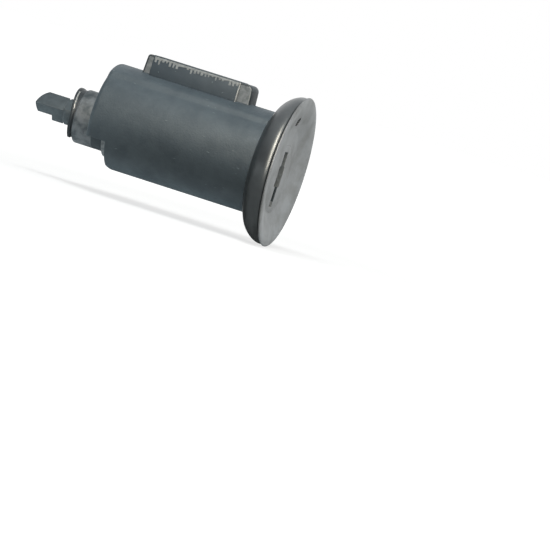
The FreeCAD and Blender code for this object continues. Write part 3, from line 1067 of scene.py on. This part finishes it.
    def finish_of(self, face: bpy.types.MeshPolygon) -> Finish:
        """Satin on the head's front, a paler finish on the mouth's walls as painted light, and the plug's own
        behind.

        Args:
            face: A face of the plug.

        Returns:
            Its finish.
        """
        if face.center.y >= (SIZES.head_front + self.mouth_depth) * MM:
            return PLUG_METAL
        facing = abs(face.normal.x) > self.wall_facing
        inside = abs(face.center.x) < self.wall_reach * self.head_radius * MM
        # The mouth's walls get the paler staked finish as painted light, where the front lamp grazes them.
        return STAKED_METAL if facing and inside else SATIN_FACE


@dataclass
class TailCollar(Piece):
    """The collar on the plug's tail, with the lug that stops the turn."""

    name = "rubbed_tail_collar"
    node = "tail_collar"
    slot = "collar_metal"
    body = Body.PLUG
    finishes = (COLLAR_METAL, PAINTED_SHADE)

    edge_round: float = 0.35
    edge_steps: int = 5
    lug_angle: float = 135.0        # from straight up toward +X
    lug_half_width: float = 0.8
    lug_root: float = 1.0           # how far its foot reaches into the collar
    lug_top: float = 6.9
    lug_front: float = 29.45
    lug_length: float = 1.9
    lug_round: float = 0.15

    def model(self) -> Solid:
        """Model the collar.

        Returns:
            The finished object.
        """
        rear, radius, e = SIZES.collar_rear, SIZES.plug_radius, self.edge_round
        profile = [(SIZES.web_bore_radius, SIZES.collar_front), (radius, SIZES.collar_front),
                   (radius, SIZES.barrel_length),
                   *arc((radius - e, rear - e), e, 0.0, 90.0, self.edge_steps), (SIZES.web_bore_radius, rear)]
        collar = turned("collar", profile, SIZES.axis_z)
        out, across = directions(self.lug_angle)
        centre, side = Vector((0.0, self.lug_front, SIZES.axis_z)), across * self.lug_half_width
        foot, top = centre + out * (radius - self.lug_root), centre + out * self.lug_top
        lug = prism("lug", [foot - side, foot + side, top + side, top - side],
                    Vector((0.0, self.lug_length, 0.0)))
        round_edges(lug, self.lug_round)
        combine(collar, [lug], Change.ADD)
        return collar

    def finish_of(self, face: bpy.types.MeshPolygon) -> Finish:
        """Rubbed metal, but painted dark as shade where it stays inside the barrel."""
        return PAINTED_SHADE if face.center.y < SIZES.barrel_length * MM else COLLAR_METAL


@dataclass
class RetainingClip(Piece):
    """The open spring clip with three prongs that bear in the hub's groove."""

    name = "bright_retaining_clip"
    node = "retaining_clip"
    slot = "clip_steel"
    body = Body.PLUG
    finishes = (CLIP_STEEL, PAINTED_HIGHLIGHT_STEEL)

    outer_radius: float = 5.0
    ring_width: float = 1.9
    half_angle: float = 152.0
    prong_angles: tuple[float, ...] = (0.0, 104.0, -104.0)
    prong_half_width: float = 0.8
    edge_round: float = 0.10
    step: float = 0.20              # the outer edge is rolled in this deep and this wide, beside the collar
    step_round: float = 0.16
    round_steps: int = 3
    highlight_from: float = 1.0        # the rolled edge carries a painted highlight between these heights above the axis
    highlight_to: float = 4.3
    highlight_slant: Span = (-0.97, -0.1)      # where its normal's y lies between these
    bow: float = 0.8                # how far the clip's top is sprung to the rear
    bow_start: float = 0.3          # above the plug's axis
    bow_steps: int = 48

    def prong(self, angle: float) -> Solid:
        """One prong, from the ring to the groove.

        Args:
            angle: Its direction from straight up toward +X, in degrees.

        Returns:
            The prong's solid.
        """
        out, across = directions(angle)
        base, side = Vector((0.0, SIZES.collar_rear, SIZES.axis_z)), across * self.prong_half_width
        inner = base + out * SIZES.groove_radius
        outer = base + out * (self.outer_radius - self.ring_width / 2.0)
        return prism("prong", [inner - side, inner + side, outer + side, outer - side],
                     Vector((0.0, SIZES.clip_rear - SIZES.collar_rear, 0.0)))

    def model(self) -> Solid:
        """Model the clip.

        Returns:
            The finished object.
        """
        front, rear, r, e = SIZES.collar_rear, SIZES.clip_rear, self.edge_round, self.step_round
        outer, inner, steps = self.outer_radius, self.outer_radius - self.ring_width, self.round_steps
        level, middle = outer - self.step, front + self.step
        profile = [(inner, front), (level, front), (level, middle),
                   *arc((outer - e, middle + e), e, -90.0, 0.0, steps),
                   *arc((outer - r, rear - r), r, 0.0, 90.0, steps),
                   *arc((inner + r, rear - r), r, 90.0, 180.0, steps)]
        clip = turned("clip", profile, SIZES.axis_z, 2.0 * self.half_angle, -self.half_angle)
        combine(clip, [self.prong(angle) for angle in self.prong_angles], Change.ADD)
        rolled = front + self.step / 2.0
        with edit_mode(clip):
            for step in range(self.bow_steps):
                rise = self.bow_start + (outer - self.bow_start) * (step + 0.5) / self.bow_steps
                height = SIZES.axis_z + rise
                select_vertices(clip, lambda place: place.z > height and place.y > rolled)
                bpy.ops.transform.translate(value=(0.0, self.bow / self.bow_steps * MM, 0.0))
        return clip

    def finish_of(self, face: bpy.types.MeshPolygon) -> Finish:
        """Dark steel, but for a painted highlight: a bright line on the upper part of the rolled edge, on the
        -X side.

        Args:
            face: A face of the clip.

        Returns:
            Its finish.
        """
        place = face.center / MM - Vector((0.0, 0.0, SIZES.axis_z))
        rolled = math.hypot(place.x, place.z) > self.outer_radius - self.step_round
        slanting = self.highlight_slant[0] < face.normal.y < self.highlight_slant[1]
        # Painted highlight: only the upper part of the edge on the -X side is made bright, where it catches
        # the light.
        rubbed = place.x < 0.0 and self.highlight_from < place.z < self.highlight_to
        return PAINTED_HIGHLIGHT_STEEL if rolled and slanting and rubbed else CLIP_STEEL


@dataclass
class SpringCover(Piece):
    """The dark strip over the springs."""

    name = "dark_spring_cover"
    node = "spring_cover"
    slot = "cover_steel"
    finishes = (COVER_STEEL, PAINTED_SHADE)

    half_width: float = 3.05
    top: float = 13.28
    skirt: float = 9.41
    corner_round: float = 0.22      # along the strip's two upper edges
    corner_steps: int = 5
    edge_round: float = 0.06
    upward: float = 0.3             # a face looks up where its normal's z is over this

    def model(self) -> Solid:
        """Model the strip: an upturned channel with rounded outer edges.

        Returns:
            The finished object.
        """
        w, v, r, steps = self.half_width, SIZES.rib_half_width, self.corner_round, self.corner_steps
        outline = [(-w, self.skirt), *arc((r - w, self.top - r), r, 180.0, 90.0, steps),
                   *arc((w - r, self.top - r), r, 90.0, 0.0, steps), (w, self.skirt), (v, self.skirt),
                   (v, SIZES.cover_seat), (-v, SIZES.cover_seat), (-v, self.skirt)]
        strip = prism("channel", [Vector((x, SIZES.cover_front, z)) for x, z in outline],
                      Vector((0.0, SIZES.cover_rear - SIZES.cover_front, 0.0)))
        round_edges(strip, self.edge_round)
        return strip

    def finish_of(self, face: bpy.types.MeshPolygon) -> Finish:
        """Strip steel, but painted dark as shade on the top and the long upper edges."""
        return PAINTED_SHADE if face.normal.z > self.upward else COVER_STEEL


@dataclass
class StakedEdge(SpringCover):
    """The bright ragged edge that holds the spring cover along both sides, sunk into it but for a hair."""

    name = "staked_cover_edge"
    node = ""
    finishes = (STAKED_METAL,)

    seed: int = 12
    count: int = 24
    missing: float = 0.15           # share of the teeth that are missing
    drop: float = 0.24              # from the cover's top to the band that the teeth hang from
    band: float = 0.48              # height of that band
    sunk: float = 0.1
    proud: float = 0.03
    front_margin: float = 0.2
    rear_margin: float = 0.2
    left: Span = (0.15, 0.35)       # the least and the most, as shares of the pitch
    right: Span = (0.65, 0.9)
    slant: Span = (0.0, 0.12)
    depth: Span = (0.45, 1.2)       # as shares of the band's height
    length: Span = (0.15, 0.8)      # in millimetres

    def comb(self, side: float, chance: random.Random) -> Solid:
        """The staked edge along one side: a comb of uneven teeth.

        Args:
            side: -1 for the -X side and 1 for the +X side.
            chance: The seeded source of its unevenness.

        Returns:
            The comb's solid.
        """
        start, end = SIZES.cover_front + self.front_margin, SIZES.cover_rear - self.rear_margin
        pitch, top = (end - start) / self.count, self.top - self.drop
        outline = []
        for i in range(self.count):
            y = start + i * pitch
            left = y + pitch * chance.uniform(*self.left)
            right = y + pitch * chance.uniform(*self.right)
            band = top - self.band * chance.uniform(*self.depth)
            tip = band - chance.uniform(*self.length)
            slant = pitch * chance.uniform(*self.slant)
            if chance.random() > self.missing:
                outline += [(left, band), (left + slant, tip), (right - slant, tip), (right, band)]
        outline += [(end, top - self.band), (end, top), (start, top), (start, top - self.band)]
        base = side * (self.half_width - self.sunk)
        return prism("comb", [Vector((base, y, z)) for y, z in outline],
                     Vector((side * (self.sunk + self.proud), 0.0, 0.0)))

    def model(self) -> Solid:
        """Model both edges."""
        chance = random.Random(self.seed)
        return join([self.comb(side, chance) for side in (-1.0, 1.0)])

    def finish_of(self, face: bpy.types.MeshPolygon) -> Finish:
        """Rubbed bright all over."""
        return STAKED_METAL


@dataclass
class CutEnd(SpringCover):
    """The spring cover's cut front end, which shows on each side as one bright line of painted highlight."""

    name = "painted_highlight_cover_end"
    node = ""
    finishes = (PAINTED_HIGHLIGHT_STEEL,)

    sunk: float = 0.3
    proud: float = 0.03
    width: float = 0.15
    inset: float = 0.02             # in front of the cover and above its skirt

    def line(self, side: float) -> Solid:
        """The line on one side.

        Args:
            side: -1 for the -X side and 1 for the +X side.

        Returns:
            The line's solid.
        """
        low = Vector((self.half_width - self.sunk, SIZES.cover_front - self.inset, self.skirt + self.inset))
        high = Vector((self.half_width + self.proud, SIZES.cover_front + self.width,
                       self.top - self.corner_round))
        if side < 0.0:
            low.x, high.x = -high.x, -low.x
        return block("line", low, high)

    def model(self) -> Solid:
        """Model both sides' lines."""
        return join([self.line(side) for side in (-1.0, 1.0)])

    def finish_of(self, face: bpy.types.MeshPolygon) -> Finish:
        """A painted highlight all over."""
        return PAINTED_HIGHLIGHT_STEEL


def dress_solids() -> None:
    """Give every solid of the frame the finish of its slot."""
    slots = {part["node"]: part["material_slot"] for part in frame["record"]["subparts"]}
    for node, piece in frame["nodes"].items():
        material = SLOT_FINISHES[slots[node]].material()
        if not piece.material_slots:
            piece.data.materials.append(material)
        for slot in piece.material_slots:
            slot.link = "OBJECT"
            slot.material = material


@dataclass(frozen=True)
class Lamp:
    """A soft lamp that points at the lock and that the camera doesn't see."""

    name: str
    place: Place                    # in millimetres, as its size and its aim are
    size: tuple[float, float]
    watts: float
    colour: str
    aim: Place = (0.0, 15.0, -2.0)
    glossy: bool = True             # whether metal mirrors it
    diffuse: bool = True            # whether it lights matte surfaces

    def hang(self) -> None:
        """Add the lamp to the scene."""
        data = bpy.data.lights.new(self.name, "AREA")
        data.shape = "RECTANGLE"
        data.size, data.size_y = self.size[0] * MM, self.size[1] * MM
        data.energy = self.watts
        data.color = linear(self.colour)[:3]
        lamp = bpy.data.objects.new(self.name, data)
        bpy.context.scene.collection.objects.link(lamp)
        lamp.location = Vector(self.place) * MM
        way = Vector(self.aim) * MM - lamp.location
        lamp.rotation_euler = way.to_track_quat("-Z", "Y").to_euler()
        lamp.visible_camera = False
        lamp.visible_glossy = self.glossy
        lamp.visible_diffuse = self.diffuse


@dataclass
class Studio:
    """The camera at the photograph's angle, a pale floor, a pale room and soft light."""

    azimuth: float = -77.47         # degrees: the lock is seen from its -X side, a little from the front
    elevation: float = 3.0
    roll: float = 17.35             # the lock's axis slopes down to the right
    lens: float = 250.0
    distance: float = 699.3         # millimetres
    target: Place = (0.0, -8.12, -17.62)
    clip: Span = (10.0, 20000.0)
    floor_z: float = -14.3
    floor_size: float = 6000.0
    floor_middle: float = 15.0      # the place along the lock that its shade is centred on
    floor_colour: str = "#a2a2a0"
    glow: Span = (0.72, 1.0)        # the floor's, as the camera sees it, near the lock and far from it
    glow_reach: Span = (50.0, 160.0)        # how near and how far that is, in millimetres
    painted_shadow_reach: Span = (60.0, 300.0)    # metal mirrors a dark floor, a painted shadow, up to the first, and white past both
    room: Span = (0.10, 0.75)       # the room's light, from the horizon and from above
    room_reach: Span = (0.0, 0.8)   # the upward parts of a ray's direction at which these hold
    backdrop_reach: Span = (0.1, 0.8)       # the parts toward +X over which a mirrored white backdrop rises
    matte_share: float = 0.22       # of the room's light that matte surfaces get
    lamps: tuple[Lamp, ...] = (
        Lamp("key", (-190.0, 45.0, 370.0), (220.0, 220.0), 1.27, "#f8fcff", glossy=False),
        Lamp("front", (-20.0, -400.0, 62.0), (200.0, 130.0), 1.15, "#fffdfa"),
        Lamp("window", (-410.0, -40.0, 240.0), (190.0, 540.0), 3.1, "#ffefdc", diffuse=False),
        Lamp("under", (12.0, 12.0, -14.1), (40.0, 56.0), 0.0072, "#f4fbff", (12.0, 12.0, 0.0),
             glossy=False),
        Lamp("tail", (-12.0, 50.0, -14.1), (24.0, 20.0), 0.0042, "#f4fbff", (-12.0, 50.0, 0.0),
             glossy=False),
    )

    def camera(self) -> None:
        """Add the camera and make it the scene's."""
        turn, rise = math.radians(self.azimuth), math.radians(self.elevation)
        back = Vector((math.sin(turn) * math.cos(rise), -math.cos(turn) * math.cos(rise), math.sin(rise)))
        data = bpy.data.cameras.new("camera")
        data.lens = self.lens
        data.clip_start, data.clip_end = self.clip[0] * MM, self.clip[1] * MM
        camera = bpy.data.objects.new("camera", data)
        bpy.context.scene.collection.objects.link(camera)
        camera.location = (Vector(self.target) + back * self.distance) * MM
        upright = (-back).to_track_quat("-Z", "Y").to_matrix()
        camera.rotation_euler = (upright @ Matrix.Rotation(math.radians(self.roll), 3, "Z")).to_euler()
        bpy.context.scene.camera = camera

    def floor(self) -> None:
        """Add the pale floor, which shows white but for the lock's shadow, and which metal mirrors dark near
        the lock as a painted shadow.
        """
        z = self.floor_z
        corners = [Vector((x, y, 0.0)) * self.floor_size / 2.0 + Vector((0.0, 0.0, z))
                   for x, y in ((-1, -1), (1, -1), (1, 1), (-1, 1))]
        floor = mesh_piece("pale_floor", corners, [], [range(len(corners))])
        material = bpy.data.materials.new("pale_floor")
        tree = empty_tree(material)
        path = add_node(tree, "LightPath").outputs
        place = add_node(tree, "TexCoord").outputs["Object"]
        away = add_node(tree, "VectorMath", {"operation": "DISTANCE"}, in_0=place,
                        in_1=Vector((0.0, self.floor_middle, z)) * MM).outputs["Value"]
        near, far = self.glow_reach
        glow = add_node(tree, "MapRange", SOFT_STEP, Value=away, From_Min=near * MM, From_Max=far * MM,
                        To_Min=self.glow[0], To_Max=self.glow[1])
        near, far = self.painted_shadow_reach
        painted_shadow_fade = add_node(tree, "MapRange", SOFT_STEP, Value=away, From_Min=near * MM,
                            From_Max=far * MM)
        seen = add_node(tree, "Math", MAXIMUM, in_0=path["Is Camera Ray"],
                        in_1=path["Is Transmission Ray"])
        direct = add_node(tree, "Math", MULTIPLY, in_0=seen, in_1=glow)
        glossy = add_node(tree, "Math", MULTIPLY, in_0=path["Is Glossy Ray"], in_1=painted_shadow_fade)
        strength = add_node(tree, "Math", MAXIMUM, in_0=direct, in_1=glossy)
        white = add_node(tree, "Emission", Color=linear("#ffffff"), Strength=strength)
        matte = add_node(tree, "BsdfDiffuse", Color=linear(self.floor_colour))
        both = add_node(tree, "AddShader", in_0=white, in_1=matte)
        add_node(tree, "OutputMaterial", Surface=both)
        floor.data.materials.append(material)

    def world(self) -> None:
        """Set a pale room: white behind and above the lock, dimmer low on the viewer's side."""
        world = bpy.data.worlds.new("pale_room")
        bpy.context.scene.world = world
        tree = empty_tree(world)
        path = add_node(tree, "LightPath").outputs
        way = add_node(tree, "TexCoord").outputs["Generated"]
        axes = add_node(tree, "SeparateXYZ", Vector=way).outputs
        light = add_node(tree, "MapRange", SOFT_STEP, Value=axes["Z"], From_Min=self.room_reach[0],
                         From_Max=self.room_reach[1], To_Min=self.room[0], To_Max=self.room[1])
        behind = add_node(tree, "MapRange", SOFT_STEP, Value=axes["X"],
                          From_Min=self.backdrop_reach[0], From_Max=self.backdrop_reach[1])
        backdrop = add_node(tree, "Math", MULTIPLY, in_0=behind, in_1=path["Is Glossy Ray"])
        room = add_node(tree, "Math", MAXIMUM, in_0=light, in_1=backdrop)
        share = add_node(tree, "MapRange", Value=path["Is Diffuse Ray"], To_Min=1.0,
                         To_Max=self.matte_share)
        dimmed = add_node(tree, "Math", MULTIPLY, in_0=room, in_1=share)
        seen = add_node(tree, "Math", MAXIMUM, in_0=path["Is Camera Ray"],
                        in_1=path["Is Transmission Ray"])
        strength = add_node(tree, "Math", MAXIMUM, in_0=dimmed, in_1=seen)
        background = add_node(tree, "Background", Color=linear("#ffffff"), Strength=strength)
        add_node(tree, "OutputWorld", Surface=background)

    def build(self) -> None:
        """Set up the whole studio."""
        self.camera()
        self.floor()
        self.world()
        for lamp in self.lamps:
            lamp.hang()
        bpy.context.scene.view_settings.view_transform = "Standard"


def main() -> None:
    """Build the lock's pieces in order, dress them and set up the studio."""
    dress_solids()
    for piece in (Housing(), BezelRing(), FaceDisc(), Plug(), TailCollar(), RetainingClip(), SpringCover(),
                  StakedEdge(), CutEnd()):
        log.info("%s: %d faces", piece.name, piece.build())
    Studio().build()


if __name__ == "__main__":
    main()
